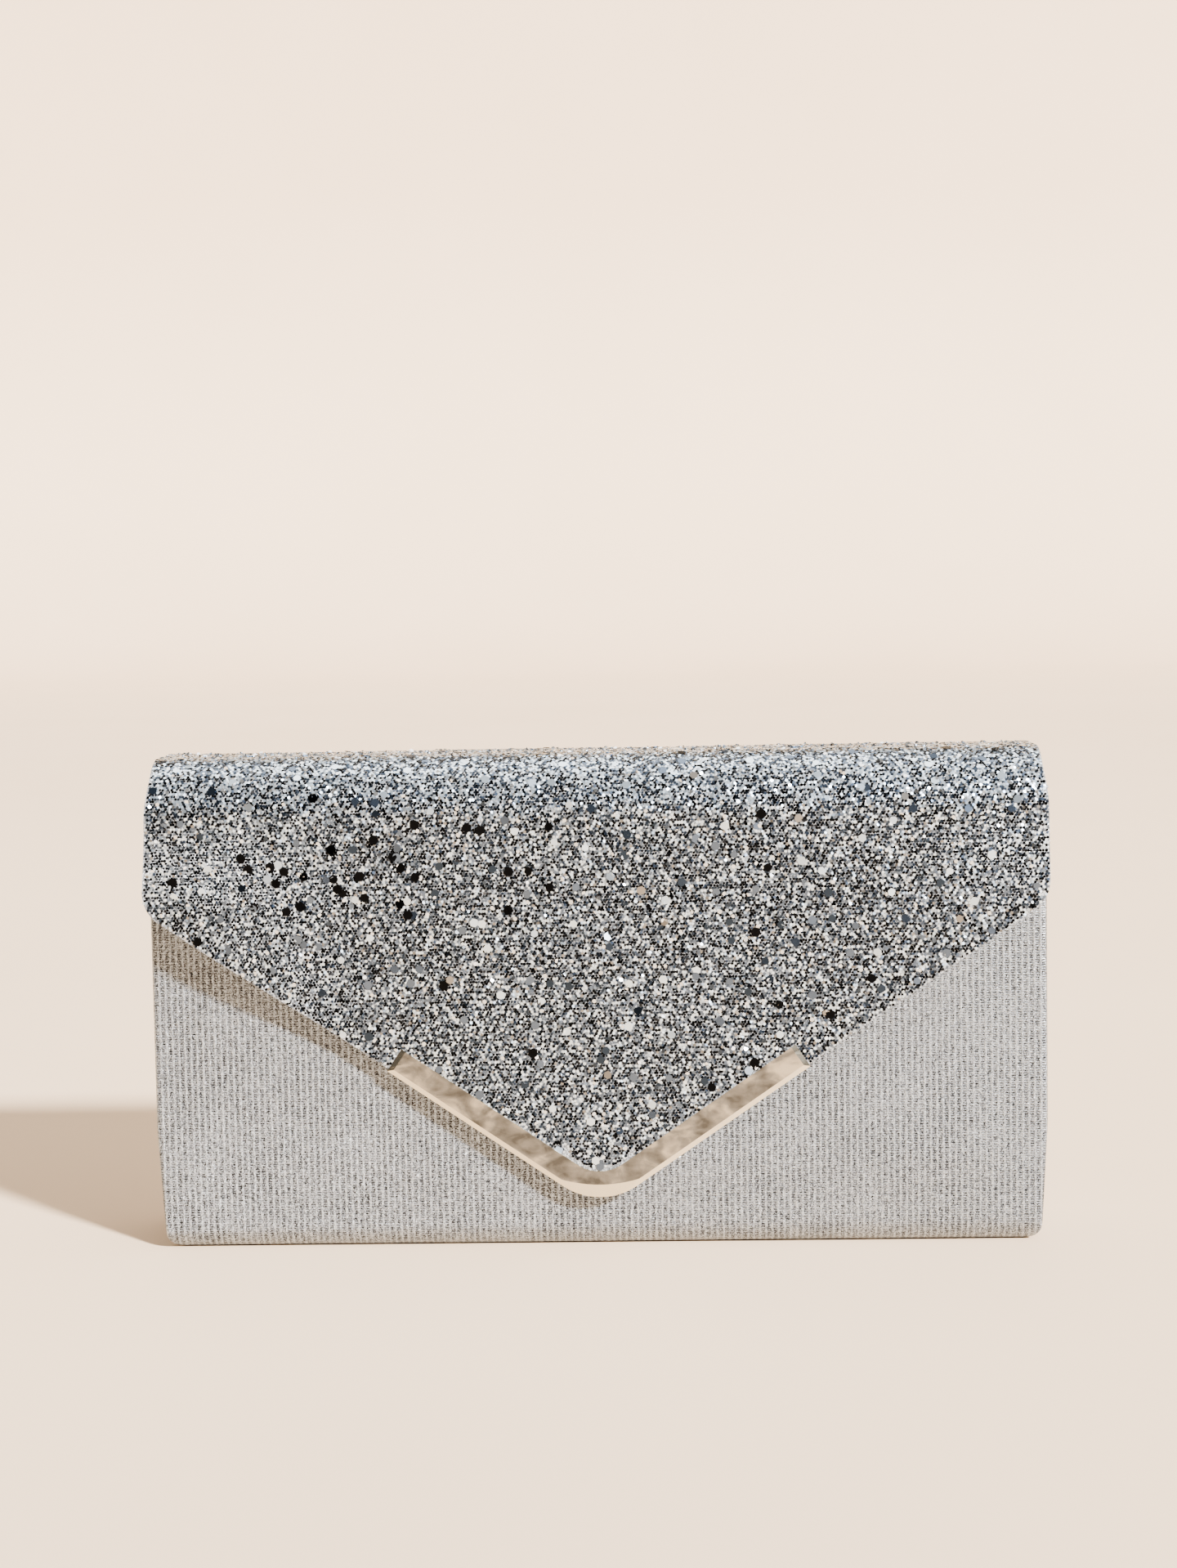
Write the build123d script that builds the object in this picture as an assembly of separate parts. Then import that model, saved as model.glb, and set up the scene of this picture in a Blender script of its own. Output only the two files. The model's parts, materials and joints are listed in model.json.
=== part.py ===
from build123d import *
import os
from math import radians, sin, cos, tan

# Envelope clutch bag, in millimetres. -Y to the front, +Z up, and +X towards the right-hand end as seen
# from the front. The bag stands on z = 0, and the origin is under its middle.

# ---- Driving dimensions -------------------------------------------------------------------------
# The carcass: front, bottom and back
body_half_width = 120.0
body_front_y = -18.4
body_back_y = 24.0
corner_radius = 6.0           # where the front and back turn into the bottom
front_top_z = 122.0
back_top_z = 113.7
taper_start_z = 32.0          # below this the ends draw in towards the bottom
taper_per_side = 1.8
end_corner_radius = 3.5

cover_thickness = 1.0
board_thickness = 1.4
lining_thickness = 0.6
wall_thickness = cover_thickness + board_thickness + lining_thickness
board_edge_inset = 1.5        # the cover is turned around the edge of the board
lining_edge_inset = 2.2
joint_gap = 0.3               # between pieces that move on one another

# The flap: a roll over the top and a pointed front
flap_front_y = -24.4
flap_back_y = 25.0
flap_top_z = 133.0
flap_half_width = 119.8
flap_skin_thickness = 1.0
flap_core_thickness = 0.8
flap_lining_thickness = 0.6
flap_thickness = flap_skin_thickness + flap_core_thickness + flap_lining_thickness
roll_radius = 16.0
back_crease_z = 114.0         # the flap turns here, where it leaves the back
front_crease_z = 115.0        # and here, where the roll becomes the front
shoulder_radius = 10.0        # where a side turns into a lower edge
flap_slope = 34.3             # degrees between a lower edge and level
flap_apex_z = 11.9            # where the two lower edges would meet
flap_tip_radius = 17.0
flap_edge_inset = 0.6         # the core stops short of the skin's edge
crease_allowance = 7.0        # and short of both creases, so that the flap folds

root_strip_bottom_z = 90.0

# The metal trim around the point of the flap
trim_arm_length = 67.8        # from the unrounded point, along each arm
trim_width = 7.0
trim_metal = 0.6
trim_bevel_depth = 0.42
trim_bevel_width = 1.3
trim_point_bevel_width = 3.4  # the bevel widens around the point
trim_point_bevel_radius = 40.0
trim_point_bevel_reach = 16.0 # to each side of the middle
trim_fit = 0.05

# The magnetic snap
snap_z = 33.0
snap_case_radius = 8.0
snap_case_height = 2.3
snap_wall = 0.4
snap_mouth_radius = 3.1
snap_floor_radius = 1.7
snap_mouth_depth = 1.3
magnet_outer_radius = 7.3
magnet_inner_radius = 3.8
magnet_height = 1.4
stud_radius = 7.0
stud_flange = 1.0
stud_nub_base_radius = 3.0
stud_nub_tip_radius = 1.6
stud_nub_height = 1.2
prong_width = 2.4
prong_thickness = 0.4
prong_spacing = 8.0
prong_fit = 0.1
washer_radius = 6.5
washer_thickness = 0.5
stud_washer_thickness = 0.4

# The folded ends of the bag
gusset_outer_x = 117.6
gusset_thickness = 1.1
gusset_lining_thickness = 0.5
gusset_fold_depth = 18.0      # how far the fold reaches in at the top
gusset_top_z = 120.0
gusset_lining_top_z = 119.4
gusset_clearance = 0.1

# Inside
facing_height = 22.0
facing_thickness = 0.8
facing_top_z = 121.6
pocket_half_width = 62.0
pocket_bottom_z = 28.0
pocket_top_z = 94.0
pocket_corner_radius = 7.0
pocket_thickness = 0.6

# The rings for a carrying chain, one inside each end
ring_x = 96.0
ring_bar_z = 98.0
ring_wire_radius = 0.9
ring_half_width = 6.0
ring_drop = 11.0
ring_top_corner_radius = 1.3
ring_bottom_corner_radius = 5.9
ring_bore_radius = 1.0
tab_loop_radius = 1.8
tab_half_width = 4.0
tab_thickness = 1.0
tab_top_z = 112.0

# ---- Planes worked out from them ----------------------------------------------------------------
front_board_y = body_front_y + cover_thickness
front_lining_y = front_board_y + board_thickness
front_inside_y = front_lining_y + lining_thickness
back_board_y = body_back_y - cover_thickness
back_lining_y = back_board_y - board_thickness
back_inside_y = back_lining_y - lining_thickness
middle_y = (front_inside_y + back_inside_y) / 2
flap_core_y = flap_front_y + flap_skin_thickness
flap_lining_y = flap_core_y + flap_core_thickness
flap_inside_y = flap_lining_y + flap_lining_thickness
shoulder_z = flap_apex_z + flap_half_width * tan(radians(flap_slope))
front_piece_bottom_z = corner_radius + joint_gap
far = 400.0                   # longer than the bag, for cutting tools


# ---- Helpers ------------------------------------------------------------------------------------
def plate(outline, front_y, back_y):
    """A flat layer: an outline drawn in x and z, between two depths."""
    return extrude(Plane.XZ.offset(-back_y) * outline, amount=back_y - front_y)


def across(profile, half_width):
    """A profile drawn in y and z, run from end to end of the bag."""
    return extrude(Plane.YZ * profile, amount=half_width, both=True)


def disc(radius, front_y, back_y, z):
    """A round plate that faces the front, on the bag's middle line."""
    return plate(Pos(0, z) * Circle(radius), front_y, back_y)


def band(half_width, low_z, high_z):
    """A rectangle in x and z, centred on the middle of the bag."""
    return Pos(0, (low_z + high_z) / 2) * Rectangle(2 * half_width, high_z - low_z)


def polygon(points):
    """A filled outline through the points."""
    return make_face(Polyline(*points, close=True))


def save(solid, node):
    """Write one piece to its own file."""
    solid.label = node
    export_step(solid, f"parts/{node}.step")


# ---- The carcass --------------------------------------------------------------------------------
def end_outline(inset):
    """The carcass seen from the front, drawn in by the inset at each end and rounded low down."""
    wide = body_half_width - inset
    narrow = wide - taper_per_side
    face = polygon(
        [(-wide, flap_top_z), (-wide, taper_start_z), (-narrow, inset),
         (narrow, inset), (wide, taper_start_z), (wide, flap_top_z)]
    )
    return fillet(face.vertices().group_by(Axis.Y)[0], end_corner_radius)


def trough_profile(inset, top_z):
    """The inside of the U that the front, bottom and back make, drawn in y and z."""
    depth = body_back_y - body_front_y - 2 * inset
    height = top_z - inset
    box = Pos((body_front_y + body_back_y) / 2, inset + height / 2) * Rectangle(depth, height)
    return fillet(box.vertices().group_by(Axis.Y)[0], corner_radius - inset)


def bottom_layer(inset, thickness, end_inset):
    """One layer of the bottom, with the two rounded corners in it."""
    profile = trough_profile(inset, far) - trough_profile(inset + thickness, far)
    profile &= Pos(0, corner_radius / 2) * Rectangle(far, corner_radius)
    return across(profile, body_half_width) & plate(end_outline(end_inset), -far, far)


def wall_layer(front_y, thickness, low_z, high_z, end_inset):
    """One flat layer of the front or the back."""
    outline = end_outline(end_inset) & band(body_half_width, low_z, high_z)
    return plate(outline, front_y, front_y + thickness)


def make_bottom():
    board_depth = cover_thickness + board_thickness
    save(bottom_layer(0, cover_thickness, 0), "bottom_cover")
    save(bottom_layer(cover_thickness, board_thickness, board_edge_inset), "bottom_board")
    save(bottom_layer(board_depth, lining_thickness, lining_edge_inset), "bottom_lining")


def make_back():
    low_z = corner_radius
    cover = wall_layer(back_board_y, cover_thickness, low_z, back_top_z, 0)
    board = wall_layer(back_lining_y, board_thickness, low_z, back_top_z, board_edge_inset)
    lining = wall_layer(back_inside_y, lining_thickness, low_z, back_top_z, lining_edge_inset)
    strip = plate(band(flap_half_width, root_strip_bottom_z, back_top_z), body_back_y, flap_back_y)
    save(cover, "back_cover")
    save(board, "back_board")
    save(lining, "back_lining")
    save(strip, "flap_root_strip")


def make_pocket():
    outline = fillet(
        band(pocket_half_width, pocket_bottom_z, pocket_top_z).vertices().group_by(Axis.Y)[0],
        pocket_corner_radius,
    )
    save(plate(outline, back_inside_y - pocket_thickness, back_inside_y), "slip_pocket")


def prong_slots(front_y, back_y, slack):
    """The two bent legs of a snap, or the slots for them where the slack is more than nothing."""
    legs = Part()
    for side in (-1, 1):
        leg = Pos(side * prong_spacing / 2, snap_z) * Rectangle(
            prong_thickness + 2 * slack, prong_width + 2 * slack
        )
        legs += plate(leg, front_y, back_y)
    return legs


def make_front():
    low_z = front_piece_bottom_z
    facing_low_z = facing_top_z - facing_height
    cover = wall_layer(body_front_y, cover_thickness, low_z, front_top_z, 0)
    board = wall_layer(front_board_y, board_thickness, low_z, front_top_z - 0.4, board_edge_inset)
    lining = wall_layer(front_lining_y, lining_thickness, low_z, facing_low_z, lining_edge_inset)
    facing = wall_layer(
        front_lining_y, facing_thickness, facing_low_z, facing_top_z, lining_edge_inset
    )
    slots = prong_slots(body_front_y, front_lining_y, prong_fit)
    washer_seat = disc(
        washer_radius + prong_fit, front_lining_y - washer_thickness, front_lining_y, snap_z
    )
    save(cover - slots, "front_cover")
    save(board - slots - washer_seat, "front_board")
    save(lining, "front_lining")
    save(facing, "front_facing")


# ---- The folded ends ----------------------------------------------------------------------------
def leaf_section(seam_y, crease_y, depth, offset, thickness, z):
    """Half of the fold cut level: a strip that slants in from the seam to the crease."""
    seam_x = gusset_outer_x - offset
    crease_x = seam_x - depth
    points = [(seam_x, seam_y), (crease_x, crease_y), (crease_x - thickness, crease_y),
              (seam_x - thickness, seam_y)]
    return Plane.XY.offset(z) * polygon(points)


def leaf(seam_y, crease_y, offset, thickness, low_z, top_z):
    """Half of a folded end: flat at the bottom, and slanting further in towards the top."""
    depth = gusset_fold_depth * (top_z - low_z) / (gusset_top_z - low_z)
    low = leaf_section(seam_y, crease_y, 0, offset, thickness, low_z)
    high = leaf_section(seam_y, crease_y, depth, offset, thickness, top_z)
    return loft([low, high], ruled=True)


def end_web():
    """The flat foot of a folded end, inside the bottom corners."""
    floor_z = wall_thickness + gusset_clearance
    level = Pos(middle_y, (floor_z + corner_radius) / 2) * Rectangle(far, corner_radius - floor_z)
    foot = trough_profile(floor_z, far) & level
    return extrude(Plane.YZ.offset(gusset_outer_x - gusset_thickness) * foot, gusset_thickness)


def make_ends():
    back_seam = back_inside_y - gusset_clearance
    front_seam = front_lining_y + facing_thickness + gusset_clearance
    back_crease = middle_y + joint_gap / 2
    front_crease = middle_y - joint_gap / 2
    fabric = (0, gusset_thickness)
    lining = (gusset_thickness, gusset_lining_thickness)
    low_z = corner_radius
    front_low_z = front_piece_bottom_z
    pieces = {
        "gusset_back": leaf(back_seam, back_crease, *fabric, low_z, gusset_top_z) + end_web(),
        "gusset_front": leaf(front_seam, front_crease, *fabric, front_low_z, gusset_top_z),
        "gusset_lining_back": leaf(
            back_seam, back_crease, *lining, low_z, gusset_lining_top_z
        ),
        "gusset_lining_front": leaf(
            front_seam, front_crease, *lining, front_low_z, gusset_lining_top_z
        ),
    }
    for name, solid in pieces.items():
        save(solid, f"right_{name}")
        save(mirror(solid, about=Plane.YZ), f"left_{name}")


# ---- The chain rings ----------------------------------------------------------------------------
def half_ring():
    """Half of a D-shaped ring, from the middle of its bar to its lowest point."""
    corner = ring_top_corner_radius
    bend = ring_bottom_corner_radius
    corners = [(0, 0), (ring_half_width, 0), (ring_half_width, -ring_drop), (0, -ring_drop)]
    path = FilletPolyline(*corners, radius=[corner, bend])
    wire = Plane.XZ * path
    start = Plane(origin=(0, 0, 0), z_dir=(1, 0, 0)) * Circle(ring_wire_radius)
    return sweep(start, path=wire)


def make_rings():
    axis_y = back_inside_y - tab_loop_radius
    half = half_ring()
    ring = Pos(0, axis_y, ring_bar_z) * (half + mirror(half, about=Plane.YZ))
    side_view = Pos(back_inside_y - tab_thickness / 2, (ring_bar_z + tab_top_z) / 2) * Rectangle(
        tab_thickness, tab_top_z - ring_bar_z
    )
    side_view += Pos(axis_y, ring_bar_z) * Circle(tab_loop_radius)
    side_view -= Pos(axis_y, ring_bar_z) * Circle(ring_bore_radius)
    tab = across(side_view, tab_half_width)
    for name, side in (("left", -1), ("right", 1)):
        save(Pos(side * ring_x, 0, 0) * ring, f"{name}_chain_ring")
        save(Pos(side * ring_x, 0, 0) * tab, f"{name}_ring_tab")


# ---- The flap -----------------------------------------------------------------------------------
def flap_outline(inset):
    """The pointed front of the flap, drawn in by the inset all round but at the crease."""
    slope = radians(flap_slope)
    wide = flap_half_width - inset
    apex_z = flap_apex_z + inset / cos(slope)
    side_z = shoulder_z + (apex_z - flap_apex_z) - inset * tan(slope)
    top_z = front_crease_z - joint_gap
    face = polygon([(-wide, top_z), (-wide, side_z), (0, apex_z), (wide, side_z), (wide, top_z)])
    tip = face.vertices().sort_by(Axis.Y)[0]
    face = fillet(tip, flap_tip_radius - inset)
    shoulders = [v for v in face.vertices() if abs(v.Y - side_z) < 0.01 and abs(v.X) > wide - 0.01]
    return fillet(shoulders, shoulder_radius - inset)


def roll_profile(inset, low_z):
    """The roll over the top, filled in, in y and z, from the level given up to the top."""
    front_y = flap_front_y + inset
    back_y = flap_back_y - inset
    height = flap_top_z - inset - low_z
    box = Pos((front_y + back_y) / 2, low_z + height / 2) * Rectangle(back_y - front_y, height)
    return fillet(box.vertices().group_by(Axis.Y)[-1], roll_radius - inset)


def roll_layer(inset, thickness, end_inset, allowance=0.0):
    """One layer of the roll. Its front leg ends a little higher than its back leg."""
    low_z = back_crease_z + joint_gap + allowance
    front_low_z = front_crease_z + joint_gap + allowance
    profile = roll_profile(inset, back_crease_z) - roll_profile(inset + thickness, 0)
    profile -= Pos(0, low_z / 2) * Rectangle(far, low_z)
    profile -= Pos(flap_front_y, (low_z + front_low_z) / 2) * Rectangle(
        4 * flap_thickness, front_low_z - low_z
    )
    return across(profile, flap_half_width - end_inset)


def make_roll():
    lining_inset = flap_skin_thickness + flap_core_thickness
    save(roll_layer(0, flap_skin_thickness, 0), "flap_roll_skin")
    core = roll_layer(flap_skin_thickness, flap_core_thickness, flap_edge_inset, crease_allowance)
    save(core, "flap_roll_core")
    save(roll_layer(lining_inset, flap_lining_thickness, flap_edge_inset), "flap_roll_lining")


def make_flap_front():
    skin = plate(flap_outline(0), flap_front_y, flap_core_y)
    core = plate(flap_outline(flap_edge_inset), flap_core_y, flap_lining_y)
    lining = plate(flap_outline(flap_edge_inset), flap_lining_y, flap_inside_y)
    slots = prong_slots(flap_front_y, flap_inside_y, prong_fit)
    washer_seat = disc(
        washer_radius + prong_fit, flap_core_y, flap_core_y + stud_washer_thickness, snap_z
    )
    save(skin, "flap_front_skin")
    crease_strip = plate(
        band(flap_half_width, front_crease_z - crease_allowance, front_crease_z), flap_core_y, flap_lining_y
    )
    save(core - slots - washer_seat - crease_strip, "flap_front_core")
    save(lining - slots, "flap_front_lining")


def trim_reach():
    """The outline of the two arms' far ends, cut square to each arm."""
    reach = None
    for side in (-1, 1):
        turn = side * flap_slope
        arm = Pos(0, flap_apex_z) * Rot(0, 0, turn) * (
            Pos(side * (trim_arm_length - far / 2), 0) * Rectangle(far, far)
        )
        reach = arm if reach is None else reach & arm
    return reach


def is_outer_rim(edge):
    """True where an edge of the trim's face lies along its outer outline, not its inner one or its ends."""
    slope = radians(flap_slope)
    centre = edge.center()
    level = centre.Z - flap_apex_z
    inward = level * cos(slope) - abs(centre.X) * sin(slope)
    tip_rise = flap_tip_radius * (1 - cos(slope))
    near_tip = abs(centre.X) < 1 and inward < tip_rise + trim_width / 2
    return inward < trim_width / 2 or near_tip


def point_bevel(face_y):
    """The cutter for the wide, shallow bevel around the point: all that is outside a flat cone."""
    tip_z = flap_apex_z + flap_tip_radius * (1 / cos(radians(flap_slope)) - 1)
    centre_z = tip_z + trim_point_bevel_radius - trim_metal
    depth = trim_bevel_depth
    inner_radius = trim_point_bevel_radius - trim_point_bevel_width
    cone = Plane(origin=(0, face_y, centre_z), z_dir=(0, 1, 0)) * Pos(0, 0, depth / 2)
    cone *= Cone(inner_radius, trim_point_bevel_radius, depth)
    low_z = tip_z - trim_width
    around = band(trim_point_bevel_reach, low_z, low_z + 3 * trim_width)
    return plate(around, face_y, face_y + depth) - cone


def make_trim():
    outer = flap_outline(-trim_metal - trim_fit)
    strip = (outer - flap_outline(trim_width - trim_metal)) & trim_reach()
    front_y = flap_front_y - trim_metal
    back_y = flap_inside_y + trim_metal
    channel = plate(strip, front_y, back_y)
    channel -= plate(flap_outline(-trim_fit), flap_front_y - trim_fit, flap_inside_y + trim_fit)
    front_edges = [e for e in channel.edges() if abs(e.center().Y - front_y) < 0.01]
    rim = [e for e in front_edges if is_outer_rim(e)]
    face = [f for f in channel.faces() if abs(f.center().Y - front_y) < 0.01][0]
    channel = chamfer(rim, trim_bevel_width, trim_bevel_depth, reference=face)
    save(channel - point_bevel(front_y), "flap_trim")


# ---- The magnetic snap --------------------------------------------------------------------------
def make_snap_socket():
    case_front_y = body_front_y - snap_case_height
    floor_y = body_front_y - snap_wall
    mouth = Plane(origin=(0, case_front_y, snap_z), z_dir=(0, 1, 0)) * Pos(0, 0, snap_mouth_depth / 2)
    dish = mouth * Cone(snap_mouth_radius, snap_floor_radius, snap_mouth_depth)
    dish_skin = mouth * Pos(0, 0, snap_wall / 2) * Cone(
        snap_mouth_radius + snap_wall, snap_floor_radius + snap_wall, snap_mouth_depth + snap_wall
    )
    body = disc(snap_case_radius, case_front_y, floor_y, snap_z)
    hollow = disc(snap_case_radius - snap_wall, case_front_y + snap_wall, floor_y, snap_z)
    case = body - (hollow - dish_skin) - dish
    front_edge = case.edges().filter_by(GeomType.CIRCLE).group_by(SortBy.RADIUS)[-1].sort_by(Axis.Y)[0]
    case = fillet(front_edge, snap_wall * 0.8)
    magnet_front_y = case_front_y + snap_wall + prong_fit
    magnet = disc(magnet_outer_radius, magnet_front_y, magnet_front_y + magnet_height, snap_z)
    magnet -= disc(magnet_inner_radius, magnet_front_y, magnet_front_y + magnet_height, snap_z)
    base = disc(snap_case_radius - prong_fit, floor_y, body_front_y, snap_z)
    base += prong_slots(body_front_y, front_lining_y, 0)
    washer = disc(washer_radius, front_lining_y - washer_thickness, front_lining_y, snap_z)
    washer -= prong_slots(body_front_y, front_lining_y, prong_fit)
    save(case, "snap_case")
    save(magnet, "snap_magnet")
    save(base, "snap_base")
    save(washer, "snap_base_washer")


def make_snap_stud():
    flange_back_y = flap_inside_y + stud_flange
    stud = disc(stud_radius, flap_inside_y, flange_back_y, snap_z)
    nub = Plane(origin=(0, flange_back_y, snap_z), z_dir=(0, 1, 0)) * Pos(0, 0, stud_nub_height / 2)
    stud += nub * Cone(stud_nub_base_radius, stud_nub_tip_radius, stud_nub_height)
    stud += prong_slots(flap_core_y, flap_inside_y, 0)
    washer = disc(washer_radius, flap_core_y, flap_core_y + stud_washer_thickness, snap_z)
    washer -= prong_slots(flap_core_y, flap_inside_y, prong_fit)
    save(stud, "snap_stud")
    save(washer, "snap_stud_washer")


# ---- The whole bag ------------------------------------------------------------------------------
os.makedirs("parts", exist_ok=True)
make_bottom()
make_back()
make_pocket()
make_front()
make_ends()
make_rings()
make_roll()
make_flap_front()
make_trim()
make_snap_socket()
make_snap_stud()
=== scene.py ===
import json
from math import cos, pi, radians, sin, sqrt, tan

import bpy
import numpy as np
from mathutils import Matrix, Vector, noise


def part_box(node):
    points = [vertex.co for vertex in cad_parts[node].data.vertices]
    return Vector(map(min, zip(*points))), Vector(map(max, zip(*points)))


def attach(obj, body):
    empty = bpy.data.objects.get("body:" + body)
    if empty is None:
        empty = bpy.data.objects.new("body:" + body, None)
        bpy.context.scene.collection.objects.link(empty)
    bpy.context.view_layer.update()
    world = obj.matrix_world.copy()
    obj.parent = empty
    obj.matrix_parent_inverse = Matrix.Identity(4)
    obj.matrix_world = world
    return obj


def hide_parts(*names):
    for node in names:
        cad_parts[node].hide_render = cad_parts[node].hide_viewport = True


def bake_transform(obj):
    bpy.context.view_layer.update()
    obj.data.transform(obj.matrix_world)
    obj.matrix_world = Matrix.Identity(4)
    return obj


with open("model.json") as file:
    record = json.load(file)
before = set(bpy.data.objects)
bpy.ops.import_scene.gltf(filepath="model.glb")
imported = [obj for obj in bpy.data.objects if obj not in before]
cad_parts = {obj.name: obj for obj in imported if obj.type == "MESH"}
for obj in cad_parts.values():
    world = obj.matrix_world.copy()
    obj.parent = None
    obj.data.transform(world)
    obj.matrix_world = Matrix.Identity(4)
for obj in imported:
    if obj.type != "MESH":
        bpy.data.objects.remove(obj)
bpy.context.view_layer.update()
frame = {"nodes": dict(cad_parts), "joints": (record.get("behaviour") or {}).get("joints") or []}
MM = 0.001

# ---- Sizes of the bag, from the frame and the layers of its make-up ----
front_low, front_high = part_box("front_cover")
_, back_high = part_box("back_cover")
flap_low, flap_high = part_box("flap_front_skin")
_, roll_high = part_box("flap_roll_skin")
strip_low, strip_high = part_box("flap_root_strip")
facing_low, facing_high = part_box("front_facing")
pocket_low, pocket_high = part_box("slip_pocket")
gusset_low, gusset_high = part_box("right_gusset_back")
tab_low, tab_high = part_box("right_ring_tab")
snap_low, snap_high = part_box("snap_case")
joint = {j["name"]: Vector(j["pos_m"]) for j in frame["joints"]}

COVER = 1.0 * MM
BOARD = 1.4 * MM
LINING = 0.6 * MM
FLAP_SKIN = 1.0 * MM
FLAP_CORE = 0.8 * MM
FLAP_LINING = 0.6 * MM

front_y = front_low.y
back_y = back_high.y
bottom_turn = joint["mouth_open"].z          # the radius where the front and back turn under
body_half = front_high.x
taper_start = 32 * MM
taper = 1.8 * MM
snap_z = (snap_low.z + snap_high.z) / 2
end_corner = 3.5 * MM
lining_edge_inset = 2.2 * MM
gusset_front_seam = front_y + COVER + BOARD + 0.9 * MM

flap_half = flap_high.x
flap_front_y = flap_low.y
flap_back_y = strip_high.y
flap_top = roll_high.z
roll_radius = 16 * MM
back_crease = joint["flap_lift"].z
front_crease = joint["flap_fold"].z
crease_length = 7 * MM
back_seam = back_crease + 8.5 * MM            # where the flap's cloths are divided, on the roll
flap_slope = radians(34.3)
flap_apex = 11.9 * MM
tip_radius = 17 * MM
shoulder_radius = 10 * MM
left_flare, right_flare = 5.5 * MM, 2.0 * MM
layer_inset = 0.6 * MM
trim_width = 7 * MM
trim_arm = 67.8 * MM

rib_pitch = 1.64 * MM
row_pitch = 0.66 * MM
BAND_PERIOD = 0.314                          # what a wave texture repeats in, at a scale of 1

INSIDE = (0, (front_y + back_y) / 2, 60 * MM)
RNG = np.random.default_rng(7)


# ---- Camera ----
def make_camera():
    """Level with the top of the bag and a little to its right, looking slightly down."""
    data = bpy.data.cameras.new("camera")
    data.lens = 60.7
    camera = bpy.data.objects.new("camera", data)
    bpy.context.collection.objects.link(camera)
    yaw, pitch, roll = radians(1.89), radians(4.5), radians(1.04)
    camera.location = (0.0217, -0.7197, 0.1803)
    camera.rotation_mode = "QUATERNION"
    aim = Vector((-sin(yaw) * cos(pitch), cos(yaw) * cos(pitch), -sin(pitch)))
    turn = aim.to_track_quat("-Z", "Y")
    camera.rotation_quaternion = turn @ Matrix.Rotation(-roll, 3, "Z").to_quaternion()
    bpy.context.scene.camera = camera


# ---- Small helpers ----
def smooth(t):
    t = np.clip(t, 0, 1)
    return t * t * (3 - 2 * t)


def soft_noise(x, y, scale, seed):
    """Smooth noise from about -1 to 1 over arrays of positions, with features of the scale given."""
    flat_x, flat_y = np.broadcast_arrays(x, y)
    out = [
        noise.noise(Vector((a / scale, b / scale, seed)))
        for a, b in zip(flat_x.ravel(), flat_y.ravel())
    ]
    return np.array(out).reshape(flat_x.shape)


def steps(*stops):
    """Values from stop to stop, each stop after the first given as (value, number of steps)."""
    values = [np.array([stops[0]], float)]
    for value, count in stops[1:]:
        values.append(np.linspace(values[-1][-1], value, count + 1)[1:])
    return np.concatenate(values)


def grid(*coordinates):
    """An array of points, from coordinates that are spread over each other's rows and columns."""
    return np.stack(np.broadcast_arrays(*coordinates), -1)


def new_object(name, vertices, faces, uvs=None, materials=(), face_material=None):
    """A mesh object. uvs has one pair for each face corner, in metres of the flat cloth."""
    mesh = bpy.data.meshes.new(name)
    mesh.from_pydata(np.asarray(vertices).tolist(), [], faces)
    if uvs is not None:
        mesh.uv_layers.new(name="cloth").data.foreach_set("uv", np.asarray(uvs, np.float32).ravel())
    for material in materials:
        mesh.materials.append(material)
    if face_material is not None:
        mesh.polygons.foreach_set("material_index", np.asarray(face_material, np.int32))
    mesh.polygons.foreach_set("use_smooth", np.ones(len(mesh.polygons), bool))
    mesh.update()
    thing = bpy.data.objects.new(name, mesh)
    bpy.context.collection.objects.link(thing)
    return thing


def apply_modifier(thing, kind, **settings):
    """Adds a modifier and keeps its result as the mesh."""
    modifier = thing.modifiers.new(kind, kind)
    for key, value in settings.items():
        setattr(modifier, key, value)
    evaluated = thing.evaluated_get(bpy.context.evaluated_depsgraph_get())
    mesh = bpy.data.meshes.new_from_object(evaluated)
    thing.modifiers.clear()
    old = thing.data
    thing.data = mesh
    bpy.data.meshes.remove(old)
    mesh.name = thing.name


def distance_along(path):
    """Distance from a line's first point to each of its points."""
    return np.concatenate([[0], np.cumsum(np.linalg.norm(np.diff(path, axis=0), axis=1))])


def grid_normals(points):
    """Unit normals of a grid of points, by differences."""
    along_rows = np.gradient(points, axis=0)
    along_columns = np.gradient(points, axis=1)
    normals = np.cross(along_columns, along_rows)
    return normals / np.maximum(np.linalg.norm(normals, axis=2, keepdims=True), 1e-12)


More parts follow.
